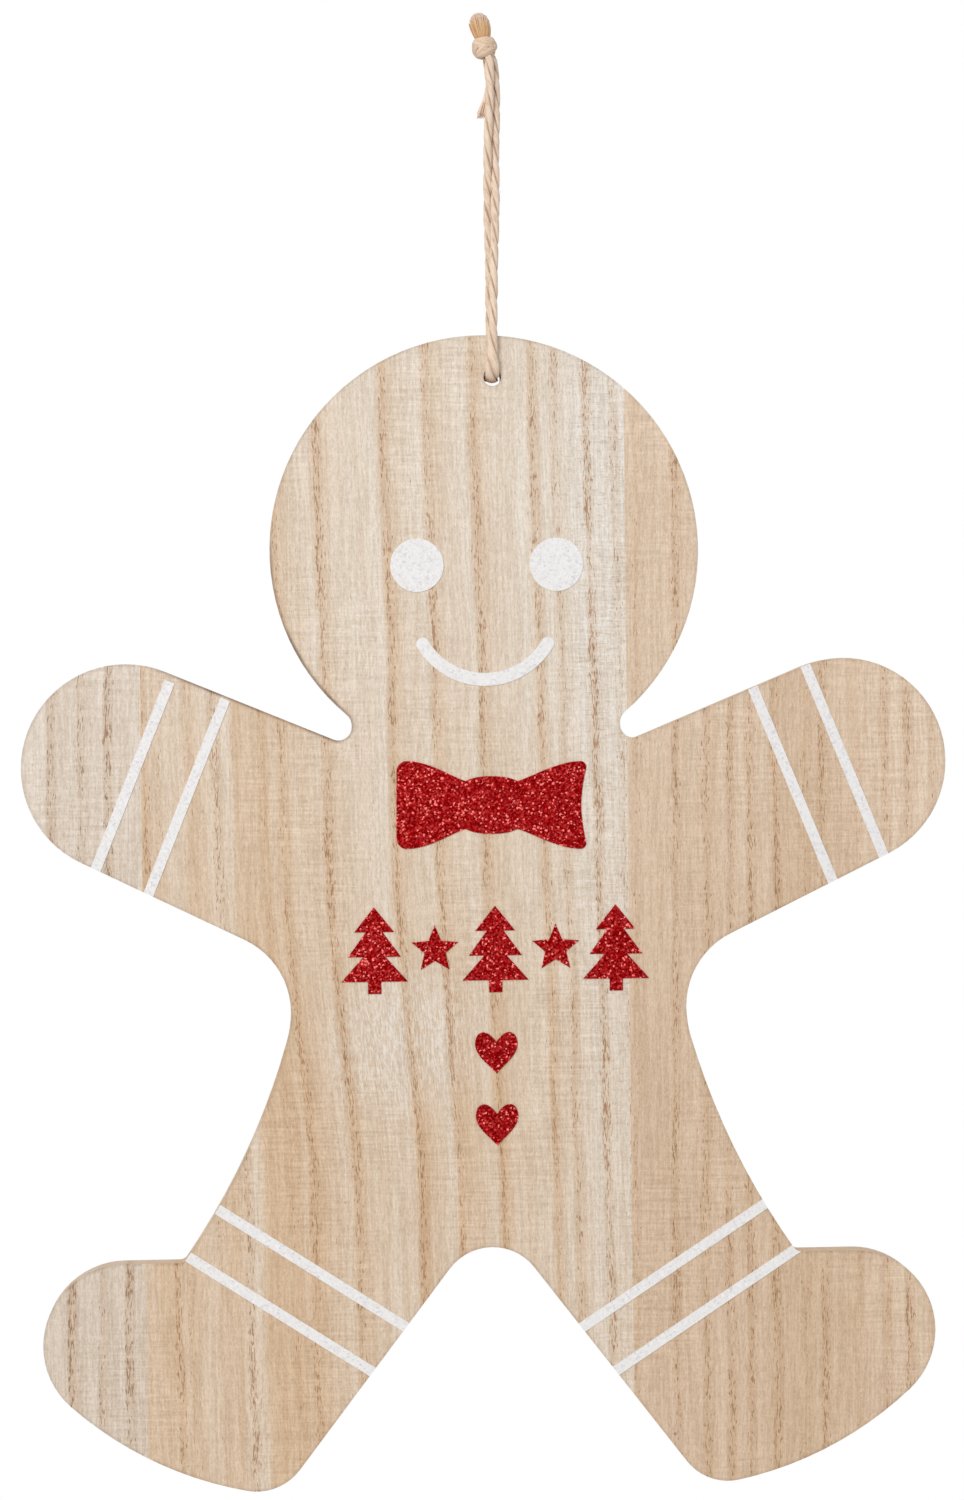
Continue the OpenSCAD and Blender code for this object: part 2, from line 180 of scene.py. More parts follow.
# The camera stands a good metre in front of the hanging figure, level with its chest and a little to the
# left, so the right side of the board lies slightly further off than the left.
camera_back = 1.15
camera_turn = math.radians(3.25)
camera_x, camera_z = -0.0033, -0.2385
board_front = 0.0045
picture_rows, rows_per_metre = 1500, 2881.3
picture_height = picture_rows / rows_per_metre
sensor_height = 36
camera = bpy.data.objects.new("camera", bpy.data.cameras.new("camera"))
scene.collection.objects.link(camera)
camera.data.sensor_fit = "VERTICAL"
camera.data.sensor_height = sensor_height
camera.data.lens = sensor_height * (camera_back - board_front) / picture_height
camera.location = (
    camera_x - camera_back * math.sin(camera_turn), -camera_back * math.cos(camera_turn), camera_z)
camera.rotation_euler = (math.pi / 2, 0, -camera_turn)
scene.camera = camera

# The loop is one length of two-ply jute twine about 3 mm thick. It leaves the knot on the right, comes down
# in front of the head, goes through the drilled hole and climbs behind it back to the knot on the left.
twine_d = 0.003
twine_lay = 0.0195
ply_out, ply_half_wide, ply_half_high = 0.23, 0.27, 0.4
closest_z, closest_reach, closest_share = -0.044, 0.011, 0.2
spread_z, spread_reach, spread_share = -0.090, 0.012, 0.22
pressed_z, pressed_reach, pressed_shares = -0.101, 0.005, [0.42, -0.25, -0.25]
tuck_x, tuck_z, tuck_reach, tuck_share = -0.0018, -0.001, 0.005, 0.6
twist_top, twist_bottom = (0, 0, -0.008), (0, 0, -0.07)
path_step = 0.0005
strand_front = [
    (1.4, 0.8, -30.2), (1.4, 0.8, -33), (1.6, 0.2, -38), (1.6, -0.5, -43), (1.5, -1.2, -48),
    (1.2, -2.2, -54), (0.9, -3.2, -60), (0.6, -4.2, -66), (0.4, -5.2, -73), (0.3, -6, -80), (0.2, -6.5, -88),
    (0.1, -6.5, -96), (0, -6.5, -101), (0, -6.5, -104.4), (0, -6.1, -106.3), (0, -5, -107.9),
    (0, -3.4, -109), (0, -1.5, -109.4),
]
strand_back = [(-x, -y, z) for x, y, z in reversed(strand_front)]
left_route = [
    (-0.8, -1.7, 4), (-0.8, -1.7, 2), (-0.8, -1.7, -1), (-0.7, -1.6, -4), (-0.6, -1.4, -10),
    (-0.9, -1.2, -18), (-1.4, -0.8, -27),
]
right_route = [
    (0.9, 1, 4), (0.9, 1, 2), (0.9, 1, -1), (1.4, 1, -4), (1.6, 1, -10), (1.5, 0.9, -18), (1.4, 0.8, -27),
]


def smooth_path(points_mm, step):
    """Path in metres through listed points: each span is the Catmull-Rom cubic through its two ends and
    their neighbours, drawn finely and then cut into equal steps of its running length."""
    p = np.asarray(points_mm, float) / 1000
    q = np.vstack([2 * p[0] - p[1], p, 2 * p[-1] - p[-2]])
    a, b, c, d = q[:-3], q[1:-2], q[2:-1], q[3:]
    t = np.linspace(0, 1, 24, endpoint=False)[:, None, None]
    fine = 0.5 * (2 * b + (c - a) * t + (2 * a - 5 * b + 4 * c - d) * t**2 + (3 * b - a - 3 * c + d) * t**3)
    fine = np.vstack([fine.transpose(1, 0, 2).reshape(-1, 3), p[-1:]])
    run = np.r_[0, np.cumsum(np.linalg.norm(np.diff(fine, axis=0), axis=1))]
    s = np.linspace(0, run[-1], int(round(run[-1] / step)) + 1)
    return np.column_stack([np.interp(s, run, fine[:, k]) for k in range(3)]), s


def across(path, reference):
    """Two unit directions square to a path: the path's heading crossed with a reference direction, and the
    heading crossed with that."""
    heading = np.gradient(path, axis=0)
    heading /= np.linalg.norm(heading, axis=1, keepdims=True)
    u = np.cross(heading, reference)
    u /= np.linalg.norm(u, axis=1, keepdims=True)
    return u, np.cross(heading, u)


def two_plies(path, s, reference, d, lay, sides=12):
    """Grid of two plies wound round a path once every lay. Each ply is an ellipse a quarter of the twine's
    width from the path, flattened against the other ply, and swelling and thinning by a few per cent. High
    on the loop the two strands lie closer together by a fifth, low on it the twine spreads sideways by a
    fifth, and where it is bent into the hole it is pressed flat."""
    u, v = across(path, reference)
    a = np.linspace(0, 2 * np.pi, sides, endpoint=False)
    turn = np.array([[0], [np.pi]]) - 2 * np.pi * s / lay
    swell = 1 + 0.04 * np.sin(s / 0.0041 + np.array([[0.4], [2.1]]))
    swell += 0.03 * np.sin(s / 0.0017 + np.array([[1.2], [4]]))
    c, n = np.cos(turn)[..., None], np.sin(turn)[..., None]
    outward, round_it = c * u + n * v, c * v - n * u
    wide = (ply_out + ply_half_wide * np.cos(a)) * d
    high = ply_half_high * np.sin(a) * d
    grid = outward[:, :, None] * wide[:, None] + round_it[:, :, None] * high[:, None]
    spread = np.clip((spread_z - path[:, 2]) / spread_reach, 0, 1)[:, None, None]
    pressed = np.clip((pressed_z - path[:, 2]) / pressed_reach, 0, 1)[:, None, None]
    grid *= 1 + spread * [spread_share, 0, 0] + pressed * pressed_shares
    closer = closest_share * np.exp(-((path[:, 2:] - closest_z) / closest_reach) ** 2)
    return (path * (1 - closer * [1, 0, 0]))[None, :, None] + grid * swell[:, :, None, None]


def tubes(name, grid):
    """Mesh of closed tubes from a grid of (tube, ring, side, xyz) points: a quad between each pair of rings
    and sides, and a flat cap at both ends. Sides that run left-handed about their tube are counted the other
    way round, so all faces point outwards. Its strand attribute holds the place round the tube as two
    coordinates on a unit circle, seven apart from tube to tube, and the running length in millimetres."""
    n, rings, sides = grid.shape[:3]
    middle = grid.mean(2)
    spin = np.cross(grid[:, 0, 0] - middle[:, 0], grid[:, 0, 1] - middle[:, 0])
    inward = (spin * (middle[:, 1] - middle[:, 0])).sum(1) > 0
    grid = np.where(inward[:, None, None, None], grid[:, :, -np.arange(sides)], grid)
    index = np.arange(n * rings * sides).reshape(n, rings, sides)
    beside = np.roll(index, -1, axis=2)
    quads = np.stack([index[:, :-1], index[:, 1:], beside[:, 1:], beside[:, :-1]], -1).reshape(-1, 4)
    caps = np.concatenate([index[:, 0], index[:, -1, ::-1]])
    mesh = bpy.data.meshes.new(name)
    mesh.from_pydata(grid.reshape(-1, 3), [], quads.tolist() + caps.tolist())
    mesh.polygons.foreach_set("use_smooth", np.arange(len(mesh.polygons)) < len(quads))
    run = np.zeros((n, rings))
    run[:, 1:] = np.cumsum(np.linalg.norm(np.diff(middle, axis=1), axis=2), axis=1)
    a = 2 * np.pi * np.arange(sides) / sides
    strand = np.empty((n, rings, sides, 3), np.float32)
    strand[..., 0] = np.cos(a) + 7 * np.arange(n)[:, None, None]
    strand[..., 1] = np.sin(a)
    strand[..., 2] = run[:, :, None] * 1000
    mesh.attributes.new("strand", "FLOAT_VECTOR", "POINT").data.foreach_set("vector", strand.ravel())
    piece = bpy.data.objects.new(name, mesh)
    scene.collection.objects.link(piece)
    return piece


def linear(code):
    """Linear colour of an sRGB hex code."""
    c = np.array([int(code[i:i + 2], 16) for i in (1, 3, 5)]) / 255
    return (*np.where(c > 0.04045, ((c + 0.055) / 1.055) ** 2.4, c / 12.92), 1)


def add(tree, kind, inputs=None, out=0, **settings):
    """Adds a shader node with its settings, sets or links its inputs, and returns one of its outputs."""
    node = tree.nodes.new("ShaderNode" + kind)
    for key, setting in settings.items():
        setattr(node, key, setting)
    for key, given in (inputs or {}).items():
        if isinstance(given, bpy.types.NodeSocket):
            tree.links.new(given, node.inputs[key])
        else:
            node.inputs[key].default_value = given
    return node.outputs[out] if node.outputs else None


def new_material(name):
    """A new material and its node tree, emptied."""
    material = bpy.data.materials.new(name)
    material.use_nodes = True
    material.node_tree.nodes.clear()
    return material, material.node_tree


# Brown of the painted shade in the groove where two plies meet.
painted_shade_brown = "#94673e"
smooth = {"interpolation_type": "SMOOTHSTEP"}
mixed_colour = {"out": 2, "data_type": "RGBA"}


def jute(name, pale, mid, dark, tip=None, painted_crease_shade=0):
    """Spun jute: dry, matt bundles of flat fibres that run along each ply. The eye sees pale and brown
    streaks along the strand and almost no gloss, and a painted shade darkens the groove where two plies meet.
    The bundles are about 0.1 mm wide, too fine to show here, and are drawn 0.2 mm wide and 3 mm long."""
    material, tree = new_material(name)
    strand = add(tree, "Attribute", out="Vector", attribute_name="strand")
    around, _, run = add(tree, "SeparateXYZ", {0: strand}).node.outputs
    streak = add(tree, "VectorMath", {0: strand, 1: (1 / 0.2, 1 / 0.2, 1 / 2.9)}, operation="MULTIPLY")
    streak = add(tree, "TexNoise", {"Vector": streak, "Scale": 1, "Detail": 3, "Roughness": 0.6})
    patch = add(tree, "VectorMath", {0: strand, 1: (1 / 1.7, 1 / 1.7, 1 / 4.5)}, operation="MULTIPLY")
    patch = add(tree, "TexNoise", {"Vector": patch, "Scale": 1, "Detail": 1})
    share = add(tree, "Math", {0: streak, 1: 0.7}, operation="MULTIPLY")
    share = add(tree, "Math", {0: patch, 1: 0.3, 2: share}, operation="MULTIPLY_ADD")
    tone = add(tree, "ValToRGB", {"Fac": share})
    ramp = tone.node.color_ramp.elements
    ramp[0].position, ramp[0].color = 0.3, linear(dark)
    ramp[1].position, ramp[1].color = 0.66, linear(pale)
    ramp.new(0.46).color = linear(mid)
    if tip:
        share = add(tree, "MapRange", {0: run, 1: 4.5, 2: 9, 4: 0.8})
        tone = add(tree, "Mix", {0: share, 6: tone, 7: linear(tip)}, **mixed_colour)
    # Painted shade: the inner side of each ply, where it lies against the other ply, is darkened towards brown.
    if painted_crease_shade:
        inner = add(tree, "Math", {0: around, 1: 1}, operation="ADD")
        inner = add(tree, "Math", {0: inner, 1: 7}, operation="MODULO")
        share = add(tree, "MapRange", {0: inner, 1: 0.95, 2: 0.3, 4: painted_crease_shade})
        tone = add(tree, "Mix", {0: share, 6: tone, 7: linear(painted_shade_brown)}, **mixed_colour)
    bump = add(tree, "Bump", {"Height": streak, "Strength": 0.5, "Distance": 0.00015})
    shader = add(tree, "BsdfPrincipled", {
        "Base Color": tone, "Roughness": 0.85, "Sheen Weight": 0.15, "Normal": bump})
    add(tree, "OutputMaterial", {"Surface": shader})
    return material


twine_path, twine_run = smooth_path(right_route + strand_front + strand_back + left_route[::-1], path_step)
twine_length = float(twine_run[-1])
twine_side = (1, 0.2, 0)
tucked = np.clip((twine_path[:, 2] - tuck_z) / tuck_reach, 0, 1) ** 2
drawn_path = twine_path.copy()
drawn_path[:, 0] += tuck_share * tucked * (tuck_x - twine_path[:, 0])
twine = tubes("twine_loop", two_plies(drawn_path, twine_run, twine_side, twine_d, twine_lay))
jute_twine = jute("jute_twine_spun", pale="#f7e4d2", mid="#ebd1b8", dark="#b78c67", painted_crease_shade=0.35)
twine.data.materials.append(jute_twine)
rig.replaces(twine, "cord_loop", "cord_left", "cord_right")
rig.slot(twine, "jute")
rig.blend(twine, "hanger", "loop", start=twist_top, end=twist_bottom)


def hairs(path, s, reference, count, reach, thick, seed):
    """Grid of loose fibres on a strand: each starts at its surface and bends away along the strand, as a
    quadratic curve in a random direction round it, and tapers to a point."""
    rng = np.random.default_rng(seed)
    u, v = across(path, reference)
    at = rng.integers(4, len(path) - 4, count)
    a = rng.uniform(0, 2 * np.pi, count)[:, None]
    out = np.cos(a) * u[at] + np.sin(a) * v[at]
    side = np.cos(a) * v[at] - np.sin(a) * u[at]
    forward = np.gradient(path, s, axis=0)[at] * rng.choice([-1, 1], count)[:, None]
    size = rng.uniform(0.4, 1, count)[:, None] * reach
    t = np.linspace(0, 1, 5)[None, :, None]
    lift = rng.uniform(0.15, 0.75, count)[:, None]
    lean = rng.uniform(-0.5, 0.5, count)[:, None]
    root = path[at] + 0.42 * twine_d * out
    line = root[:, None] + (forward * size)[:, None] * t + ((lift * out + lean * side) * size)[:, None] * t**2
    ring = 2 * np.pi * np.arange(3) / 3
    width = thick * (1 - 0.8 * t)[..., None]
    section = np.cos(ring)[:, None] * out[:, None, None] + np.sin(ring)[:, None] * side[:, None, None]
    return line[:, :, None] + width * section


fuzz_count, fuzz_reach, fuzz_thick = 420, 0.0024, 0.00005
fuzz_grid = hairs(twine_path, twine_run, twine_side, fuzz_count, fuzz_reach, fuzz_thick, seed=3)
fuzz = tubes("twine_loop_fuzz", fuzz_grid)
fuzz.data.materials.append(jute_twine)
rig.slot(fuzz, "jute")
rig.blend(fuzz, "hanger", "loop", start=twist_top, end=twist_bottom)

# The board is three staves of paulownia glued edge to edge and sawn to the figure's outline. The middle stave
# is the palest, the left one greyer and the right one tan, and their growth rings run nearly upright.
left_seam, right_seam = -123.9, 44.6
seam_slope = math.sin(math.radians(0.6))
burnt_at, notch_at, sanded_at = (-58, 0, -218), (-47, 0, -237), (-30, -4.5, -338)
hatch_light, hatch_dark = "#efe8df", "#bda68c"
wall_brown, tanned_brown, scorched_brown = "#dfc09e", "#bd8652", "#4a2a12"


def paulownia(name, lean, level, first, last, rings, pale, tan, line, pore, seams, bleached=None):
    """Sawn, lightly sanded paulownia. Ring-porous wood: at each ring the eye sees a band of short brown pores
    on a warm tint, then wood that fades to pale before the next ring, all of it in fine upright fibres and
    crossed by faint saw marks. The cut edge is a little scorched, most of all round the left of the neck.
    Real pores are about 0.3 mm wide and fibres finer: they are drawn 0.4 mm wide and more, so that they show.
    rings lists, from left to right, the place in mm, the strength of its line of pores, and the tone after it
    and before the next. They are listed between first and last at the height level, in mm, and lean is their
    slope. bleached gives where a pale strip begins, where it is full, and its colour."""
    wood, tree = new_material(name)
    place = add(tree, "TexCoord", out="Object")
    place = add(tree, "VectorMath", {0: place, 1: (1000, 1000, 1000)}, operation="MULTIPLY")
    x, y, z = add(tree, "SeparateXYZ", {0: place}).node.outputs

    def layers(at, *sizes):
        """Layers of noise, each in cells so many mm wide and so many long, with so many finer steps."""
        for wide, long, finer in sizes:
            cells = add(tree, "VectorMath", {0: at, 1: (1 / wide, 1 / wide, 1 / long)}, operation="MULTIPLY")
            yield add(tree, "TexNoise", {"Vector": cells, "Scale": 1, "Detail": finer, "Roughness": 0.55})

    # Place across the rings in mm: they lean, sway, wander, and turn outwards down the left leg.
    sway_by, wander_by = 3, 1.2
    sway, wander = layers(place, (125, 83.3, 1), (8.33, 33.3, 2))
    leg = add(tree, "MapRange", {0: z, 1: -285, 2: -390}, **smooth)
    outer = add(tree, "MapRange", {0: x, 1: 40, 2: -47, 4: -6.3}, **smooth)
    u = add(tree, "Math", {0: leg, 1: outer, 2: x}, operation="MULTIPLY_ADD")
    for layer, weight in ((z, lean), (sway, sway_by), (wander, wander_by)):
        u = add(tree, "Math", {0: layer, 1: weight, 2: u}, operation="MULTIPLY_ADD")
    u = add(tree, "Math", {0: u, 1: -lean * level - (sway_by + wander_by) / 2}, operation="ADD")
    grain = add(tree, "CombineXYZ", {0: u, 1: y, 2: z})

    def ring_curve(at, stops):
        """Height at a place across the rings, on straight lines between the stops."""
        share = add(tree, "MapRange", {0: at, 1: first, 2: last})
        curve = add(tree, "FloatCurve", {1: share})
        points = curve.node.mapping.curves[0].points
        for i, (where, height) in enumerate(stops):
            spot = ((where - first) / (last - first), height)
            if i < 2:
                points[i].location = spot
            else:
                points.new(*spot)
        for point in points:
            point.handle_type = "VECTOR"
        curve.node.mapping.update()
        return curve

    tones = [(first, rings[0][3])]
    lines = [(first, 0)]
    earlier = [rings[0][3]] + [ring[3] for ring in rings]
    following = [ring[0] for ring in rings[1:]] + [last]
    for (where, strength, after, before), tone, upper in zip(rings, earlier, following):
        tones += [(where - 2.2, tone), (where + 0.5, after)]
        if upper - where > 9:
            tones.append((where + 6, 0.45 * after + 0.55 * before))
        lines += [(where - 1.4, 0), (where, strength), (where + 1.5, 0.8 * strength), (where + 3.4, 0)]
    tones.append((last, rings[-1][3]))
    lines.append((last, 0))

    # Pale to tan from ring to ring, and more tan down the legs.
    jitter, broken, fleck, fibre, band, speck, dash = layers(
        grain, (2, 8.33, 1), (9.1, 25, 1), (0.55, 3.1, 1), (0.83, 20, 1), (5, 110, 1), (0.43, 0.83, 1),
        (0.42, 2.4, 1))
    fleck = add(tree, "MapRange", {0: fleck, 1: 0.36, 2: 0.64}, **smooth)
    fibre = add(tree, "MapRange", {0: fibre, 1: 0.38, 2: 0.62}, **smooth)
    shade = add(tree, "MapRange", {0: z, 1: -160, 2: -350, 3: -0.3, 4: 0.02}, **smooth)
    shade = add(tree, "Math", {0: ring_curve(u, tones), 1: shade}, operation="ADD")
    shade = add(tree, "Math", {0: band, 1: 0.6, 2: shade}, operation="MULTIPLY_ADD", use_clamp=True)
    colour = add(tree, "Mix", {0: shade, 6: linear(pale), 7: linear(tan)}, **mixed_colour)

    # The bleached strip by the right seam is hatched by the saw, and one spot on the belly is sanded pale.
    if bleached:
        begins, full, white = bleached
        strip = add(tree, "MapRange", {0: u, 1: begins, 2: full}, **smooth)
        upper = add(tree, "MapRange", {0: z, 1: -380, 2: -280, 3: 0.6}, **smooth)
        strip = add(tree, "Math", {0: strip, 1: upper}, operation="MULTIPLY")
        clear = add(tree, "Math", {0: shade, 1: -0.75, 2: 0.75}, operation="MULTIPLY_ADD")
        clear = add(tree, "Math", {0: clear, 1: strip}, operation="MULTIPLY")
        colour = add(tree, "Mix", {0: clear, 6: colour, 7: linear(white)}, **mixed_colour)
        light_hatch, dark_hatch = layers(place, (7.1, 0.59, 2), (3.3, 0.53, 2))
        for hatch, low, high, most, code in (
            (light_hatch, 0.45, 0.65, 0.3, hatch_light), (dark_hatch, 0.46, 0.3, 0.45, hatch_dark),
        ):
            share = add(tree, "MapRange", {0: hatch, 1: low, 2: high, 4: most}, **smooth)
            share = add(tree, "Math", {0: share, 1: strip}, operation="MULTIPLY")
            colour = add(tree, "Mix", {0: share, 6: colour, 7: linear(code)}, **mixed_colour)
        spot = add(tree, "VectorMath", {0: place, 1: sanded_at}, out="Value", operation="DISTANCE")
        spot = add(tree, "MapRange", {0: spot, 1: 36, 2: 8}, **smooth)
        share = add(tree, "MapRange", {0: fleck, 1: 0.3, 2: 0.6, 3: 0.1, 4: 0.6}, **smooth)
        share = add(tree, "Math", {0: share, 1: spot}, operation="MULTIPLY")
        colour = add(tree, "Mix", {0: share, 6: colour, 7: linear(white)}, **mixed_colour)

    # Ring lines: a tint in stretches, with dashes of open pores in it.
    beside = add(tree, "Math", {0: u, 1: -0.8}, operation="ADD")
    beside = add(tree, "Math", {0: jitter, 1: 1.6, 2: beside}, operation="MULTIPLY_ADD")
    broken = add(tree, "MapRange", {0: broken, 1: 0.36, 2: 0.62, 3: 0.65}, **smooth)
    ring_line = add(tree, "Math", {0: ring_curve(beside, lines), 1: broken}, operation="MULTIPLY")
    share = add(tree, "Math", {0: ring_line, 1: 0.45}, operation="MULTIPLY")
    colour = add(tree, "Mix", {0: share, 6: colour, 7: linear(line)}, **mixed_colour)
    pores = add(tree, "Math", {0: ring_line, 1: 0.29, 2: dash}, operation="MULTIPLY_ADD")
    pores = add(tree, "MapRange", {0: pores, 1: 0.74, 2: 0.82, 4: 0.75}, **smooth)
    colour = add(tree, "Mix", {0: pores, 6: colour, 7: linear(pore)}, **mixed_colour)

    # Fibres, flecks and saw marks lighten and darken it, and dark wood is also warmer. It is also about 2%
    # darker towards the feet, and painted light makes the right side up to about 5% lighter.
    saw, sawn, patchy = layers(place, (11, 0.77, 2), (40, 71, 1), (20, 20, 2))
    sawn = add(tree, "MapRange", {0: sawn, 1: 0.42, 2: 0.6, 3: 0.12, 4: 0.5}, **smooth)
    upper = add(tree, "MapRange", {0: z, 1: -440, 2: -180, 3: 0.98}, **smooth)
    # Painted light: the right side is lightened by up to 5.5%, where less of the lamp's light reaches it.
    right = add(tree, "MapRange", {0: x, 1: 60, 2: 150, 4: 0.055}, **smooth)
    grain_and_painted_light = add(tree, "Math", {0: upper, 1: right}, operation="ADD")
    for layer, weight in ((saw, sawn), (speck, 0.45), (fleck, 0.12), (fibre, 0.13)):
        swing = add(tree, "Math", {0: layer, 1: -0.5}, operation="ADD")
        grain_and_painted_light = add(tree, "Math", {0: swing, 1: weight, 2: grain_and_painted_light}, operation="MULTIPLY_ADD")
    warmth = add(tree, "VectorMath", {0: grain_and_painted_light, 1: (0.8, 1, 1.25), 2: (0.2, 0, -0.25)},
                 operation="MULTIPLY_ADD")
    colour = add(tree, "VectorMath", {0: colour, 1: warmth}, operation="MULTIPLY")

    def near_edge(radius, gain):
        """How near the sawn arris is, from how far a rounding of this radius would turn the surface there."""
        rounded = add(tree, "Bevel", {"Radius": radius}, samples=6)
        plain = add(tree, "NewGeometry", out="Normal")
        same = add(tree, "VectorMath", {0: rounded, 1: plain}, out="Value", operation="DOT_PRODUCT")
        return add(tree, "Math", {0: same, 1: -gain, 2: gain}, operation="MULTIPLY_ADD", use_clamp=True)

    # The sawn wall is browner than the faces. By the neck the saw has burnt the edge and tanned the wood
    # behind it.
    wall = add(tree, "Math", {0: y}, operation="ABSOLUTE")
    wall = add(tree, "Math", {0: wall, 1: 1000 * board_front - 0.01}, operation="LESS_THAN")
    share = add(tree, "Math", {0: wall, 1: 0.5}, operation="MULTIPLY")
    colour = add(tree, "Mix", {0: share, 6: colour, 7: linear(wall_brown)}, **mixed_colour)
    burnt = add(tree, "VectorMath", {0: place, 1: burnt_at}, out="Value", operation="DISTANCE")
    burnt = add(tree, "MapRange", {0: burnt, 1: 75, 2: 15}, **smooth)
    notch = add(tree, "VectorMath", {0: place, 1: notch_at}, out="Value", operation="DISTANCE")
    notch = add(tree, "MapRange", {0: notch, 1: 5, 2: 14, 3: 0.1}, **smooth)
    burnt = add(tree, "Math", {0: burnt, 1: notch}, operation="MULTIPLY")
    tanned = add(tree, "Math", {0: near_edge(0.006, 2), 1: burnt}, operation="MULTIPLY")
    tanned = add(tree, "Math", {0: tanned, 1: 0.5}, operation="MULTIPLY")
    colour = add(tree, "Mix", {0: tanned, 6: colour, 7: linear(tanned_brown)}, **mixed_colour)
    edge = near_edge(0.0022, 9)
    for seam in seams:
        apart = add(tree, "Math", {0: z, 1: seam_slope, 2: x}, operation="MULTIPLY_ADD")
        apart = add(tree, "Math", {0: apart, 1: seam, 2: 1.8}, operation="COMPARE")
        apart = add(tree, "Math", {0: 1, 1: apart}, operation="SUBTRACT")
        edge = add(tree, "Math", {0: edge, 1: apart}, operation="MULTIPLY")
    share = add(tree, "Math", {0: wall, 1: 0.3}, operation="MULTIPLY")
    edge = add(tree, "Math", {0: edge, 1: share}, operation="MAXIMUM")
    scorch = add(tree, "Math", {0: burnt, 1: 1.3, 2: 0.3}, operation="MULTIPLY_ADD")
    patchy = add(tree, "MapRange", {0: patchy, 1: 0.3, 2: 0.7, 3: 0.35}, **smooth)
    scorch = add(tree, "Math", {0: scorch, 1: patchy}, operation="MULTIPLY")
    share = add(tree, "Math", {0: edge, 1: scorch}, operation="MULTIPLY")
    colour = add(tree, "Mix", {0: share, 6: colour, 7: linear(scorched_brown)}, **mixed_colour)

    relief = add(tree, "Math", {0: fleck, 1: 0.5}, operation="MULTIPLY")
    relief = add(tree, "Math", {0: relief, 1: pores}, operation="SUBTRACT")
    bump = add(tree, "Bump", {"Height": relief, "Strength": 0.35, "Distance": 0.00012})
    matt = add(tree, "MapRange", {0: fibre, 3: 0.58, 4: 0.66})
    shader = add(tree, "BsdfPrincipled", {
        "Base Color": colour, "Roughness": matt, "IOR": 1.45, "Normal": bump})
    add(tree, "OutputMaterial", {"Surface": shader})
    return wood


wood_middle = paulownia(
    "paulownia_sawn_pale", lean=0.031, level=-144, first=-140, last=50,
    rings=[
        (-124.2, 0.8, 0.7, 0.5), (-119.8, 0.4, 0.45, 0.3), (-109.1, 0.3, 0.5, 0.4), (-99.5, 0.9, 0.15, 0.2),
        (-92.5, 0, 0.75, 0.6), (-83.3, 0.4, 0.75, 0.55), (-76.7, 0.8, 0.7, 0.3), (-61.2, 0.9, 0.55, 0.15),
        (-37.9, 0.9, 0.7, 0.1), (-23, 0.9, 0.65, 0.15), (-6.7, 0.8, 0.65, 0.1), (13.8, 0.8, 0.5, 0.15),
        (21.4, 0.7, 0.3, 0.05), (32.3, 1, 0.2, 0.1), (41.5, 0.6, 0.1, 0.1),
    ],
    pale="#e5d9ca", tan="#d4b696", line="#cba883", pore="#9c6e45", seams=(left_seam, right_seam),
    bleached=(12, 36, "#e3dacf"))
wood_left = paulownia(
    "paulownia_sawn_grey", lean=0.005, level=-247, first=-175, last=-110,
    rings=[(-153, 0.9, 0.5, 0.25), (-142.7, 0.6, 0.5, 0.25), (-133.3, 0.9, 0.45, 0.25)],
    pale="#e7dbce", tan="#d0bda9", line="#c09d79", pore="#8a6442", seams=(left_seam,))
wood_right = paulownia(
    "paulownia_sawn_tan", lean=0.004, level=-250, first=40, last=165,
    rings=[
        (49.4, 0.4, 0.5, 0.45), (63.1, 0.8, 0.5, 0.4), (73.9, 0.7, 0.55, 0.4), (82.3, 0.8, 0.55, 0.4),
        (89.3, 0.9, 0.55, 0.45), (98.1, 0.9, 0.7, 0.85), (108.6, 0.5, 0.85, 0.7), (114.9, 0.8, 0.65, 0.65),
        (127, 0.4, 0.6, 0.45), (136.8, 0.6, 0.45, 0.4), (144.8, 0.8, 0.35, 0.3), (153, 0.4, 0.4, 0.35),
    ],
    pale="#e6d1bb", tan="#d1b598", line="#c49c74", pore="#966a43", seams=(right_seam,))
for stave, wood in (
    ("stave_middle", wood_middle), ("stave_left_hand", wood_left), ("stave_left_foot", wood_left),
    ("stave_right_cheek", wood_right), ("stave_right_side", wood_right),
):
    nodes[stave].data.materials.clear()
    nodes[stave].data.materials.append(wood)

